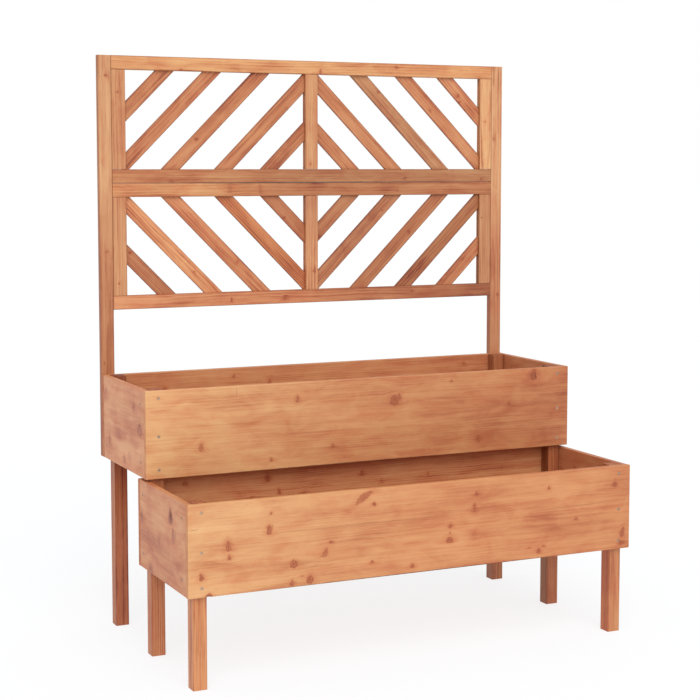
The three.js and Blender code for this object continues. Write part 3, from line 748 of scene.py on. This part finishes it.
def steel(name, shade=1.0):
    mat = bpy.data.materials.new(name)
    mat.use_nodes = True
    t = Tree(mat.node_tree)
    bsdf = mat.node_tree.nodes["Principled BSDF"]
    tc = t.node("ShaderNodeTexCoord")
    a = t.noise(t.vec("MULTIPLY", tc.outputs["Object"], (420, 420, 420)), 1.0, 4.0, 0.6)
    b = t.noise(t.vec("MULTIPLY", tc.outputs["Object"], (1600, 1600, 1600)), 1.0, 2.0, 0.5)
    stops = [(0.3, (0.66, 0.47, 0.33)), (0.5, (0.60, 0.40, 0.27)), (0.62, (0.53, 0.33, 0.21)), (0.75, (0.46, 0.26, 0.15))]
    col = t.colours(a, [(where, tuple(k * shade for k in rgb)) for where, rgb in stops])
    t.put(bsdf.inputs["Base Color"], col)
    t.put(bsdf.inputs["Roughness"], (a - 0.5) * 0.5 + (b - 0.5) * 0.2 + 0.52)
    bsdf.inputs["Metallic"].default_value = 0.2
    bsdf.inputs["Specular IOR Level"].default_value = 0.25
    bump = t.node("ShaderNodeBump")
    bump.inputs["Strength"].default_value = 1.0
    bump.inputs["Distance"].default_value = 1.0
    t.put(bump.inputs["Height"], (a - 0.5) * 0.00012 + (b - 0.5) * 0.00005)
    t.put(bsdf.inputs["Normal"], bump.outputs[0])
    return mat


FRONT, BACK, LEFT, RIGHT = (0, 1, 0), (0, -1, 0), (1, 0, 0), (-1, 0, 0)  # ways in
LEG_X = (30.25, 1069.75)
# Upper front board: middle and lower screws of each leg.
places = {s: [(at(x, 272, z), FRONT) for z in (426, 501)] for s, x in zip(("left", "right"), LEG_X)}
for s in places:
    screw_holes(f"middle_{s}_leg", places[s])
screw_holes("upper_front_board", places["left"] + places["right"])
screws_object("upper_front_board_screws", places["left"] + places["right"])
# Side boards, into the legs they cover.
for tier, y0, z0, rows in (("lower", 0, 202, ("front", "middle")), ("upper", 272, 406, ("middle", "rear"))):
    for side, x, way in (("left", 0, LEFT), ("right", 1100, RIGHT)):
        found = []
        for row, y in zip(rows, (38, 300)):
            here = [(at(x, y0 + y, z0 + dz), way) for dz in (33, 165)]
            screw_holes(f"{row}_{side}_leg", here)
            found += here
        screw_holes(f"{tier}_{side}_side_board", found)
        screws_object(f"{tier}_{side}_side_board_screws", found, 1.0, 0.72)
# Back boards, from behind.
for tier, yb, z0, xs, row in (("lower", 332.5, 202, (24, 1076), "middle"), ("upper", 604.5, 406, (39.5, 1060.5), "rear")):
    found = []
    for side, x in zip(("left", "right"), xs):
        here = [(at(x, yb, z0 + dz), BACK) for dz in (20, 99, 178)]
        screw_holes(f"{row}_{side}_leg", here)
        found += here
    screw_holes(f"{tier}_back_board", found)
    screws_object(f"{tier}_back_board_screws", found, 1.0, 0.8)
# Posts: from behind through the back board into the rear legs, and from outside into the lattice frames.
for side, x, xo, way in (("left", 22, 0, LEFT), ("right", 1078, 1100, RIGHT)):
    behind = [(at(x, 622.75, z), BACK) for z in (430, 505, 580)]
    outside = [(at(xo, 613.25, z), way) for z in (800, 1010, 1110, 1320)]
    screw_holes(f"{side}_trellis_post", behind + outside)
    screw_holes("upper_back_board", [(p_ + Vector((0, -0.018, 0)), d_) for p_, d_ in behind])
    for name, zs in (("lower", (800, 1010)), ("upper", (1110, 1320))):
        screw_holes(f"{name}_trellis_{side}_stile", [(at(xo, 613.25, z), way) for z in zs], 1.0)
    screws_object(f"{side}_trellis_post_screws", behind + outside, 1.0, 0.72)
# Battens, from inside into the long boards.
for tier, y0, z0 in (("lower", 0, 202), ("upper", 272, 406)):
    for row, y, way, board_ in (("front", y0 + 32.25, BACK, "front_board"), ("back", y0 + 300.25, FRONT, "back_board")):
        found = [(at(x, y, z0 + 12), way) for x in (90, 330, 550, 770, 1010)]
        screw_holes(f"{tier}_{row}_batten", found, 0.62)
        screws_object(f"{tier}_{row}_batten_screws", found, 0.62)


def chip(bm, centre, size, seed):
    """A rough lump, to break a piece out of an edge."""
    rng = random.Random(seed)
    start = len(bm.verts)
    bmesh.ops.create_icosphere(bm, subdivisions=2, radius=1.0)
    bm.verts.ensure_lookup_table()
    for vert in bm.verts[start:]:
        k = rng.uniform(0.82, 1.12)
        vert.co = centre + Vector((vert.co.x * size[0] * k, vert.co.y * size[1] * k, vert.co.z * size[2] * k))


CHIPS = {"lower_front_board": [(at(45.8, 0.2, 202.3), (0.0062, 0.0050, 0.0046), 5)]}


def cutter_object(node, holes):
    bm = bmesh.new()
    for centre, size, seed in CHIPS.get(node, ()):
        chip(bm, centre, size, seed)
    for point, direction, scale in holes:
        m4 = Matrix.Translation(point) @ facing(direction) @ Matrix.Scale(scale, 4)
        c = CLEAR
        lathe(bm, [(0, -0.002), (HEAD_R + c, -0.002), (HEAD_R + c, 0.0009), (SHANK_R + c, 0.0039),
                   (SHANK_R + c, 0.0385), (0, 0.0415)], m4, 20)
    ob = mesh_object("cut_" + node, bm, None, [])
    ob.hide_render = True
    ob.hide_viewport = True
    return ob


# ---------------------------------------------------------------- finish of the wooden nodes
COUNT = {"back_board": 16, "side_board": 6, "leg": 1, "post": 3, "rail": 3, "stile": 1, "slat": 1, "batten": 7,
         "bottom_panel": 16}
CLEAR_LEGS = ("front_left_leg", "front_right_leg", "middle_left_leg", "middle_right_leg", "rear_left_leg", "rear_right_leg")
for name, ob in NODES.items():
    if "screw" in name:
        ob.data.materials.clear()
        ob.data.materials.append(steel("steel_" + name, 0.66 if "right" in name else 0.85))
        ob.data.materials.append(grime("grime_" + name))
        continue
    low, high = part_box(name)
    axis = grain_of(name)
    kind = next((k for k in KIND if name.endswith(k) or k in name), None)
    look = dict(KIND.get(kind, {}))
    if "Tone" in look:
        look["Tone"] += random.Random(seed_of(name) + 5).uniform(-0.05, 0.05)
    look.update(PIECE.get(name, {}))
    knots = KNOTS.get(name)
    if knots is None:
        size = high - low
        turned_ = {"x": (size.x, size.z), "y": (size.y, size.z), "z": (size.z, size.x),
                   "flat": (size.x, size.y)}.get(axis, (0.25, 0.03))
        small = (2.0, 4.0) if turned_[1] < 0.05 else (3.0, 7.0)
        count = 0 if name in CLEAR_LEGS else COUNT.get(kind, 2)
        knots = spread_knots(name, turned_[0] * 500, turned_[1] * 500, count, small)
    middle = 0.0
    if "slat" in name:
        turn_ = Euler(TURN[axis], "XYZ").to_matrix()
        places = [(turn_ @ (ob.matrix_world @ v.co - (low + high) / 2)).z for v in ob.data.vertices]
        middle = (min(places) + max(places)) / 2
    mat = wood(name, low, high, axis, knots, LINES.get(name, ()), middle, **look)
    ob.data.materials.clear()
    ob.data.materials.append(mat)
    ob.data.polygons.foreach_set("material_index", [0] * len(ob.data.polygons))
    weld = ob.modifiers.new("weld", "WELD")
    weld.merge_threshold = 1e-5
    flat = ob.modifiers.new("flat", "DECIMATE")
    flat.decimate_type = "DISSOLVE"
    flat.angle_limit = math.radians(0.6)
    if name in CUTTERS or name in CHIPS:
        cut = ob.modifiers.new("holes", "BOOLEAN")
        cut.operation = "DIFFERENCE"
        cut.solver = "EXACT"
        cut.object = cutter_object(name, CUTTERS.get(name, []))
    edge = ob.modifiers.new("edge", "BEVEL")
    edge.width = 0.0006
    edge.segments = 2
    edge.limit_method = "ANGLE"
    edge.angle_limit = math.radians(35)
    edge.use_clamp_overlap = True
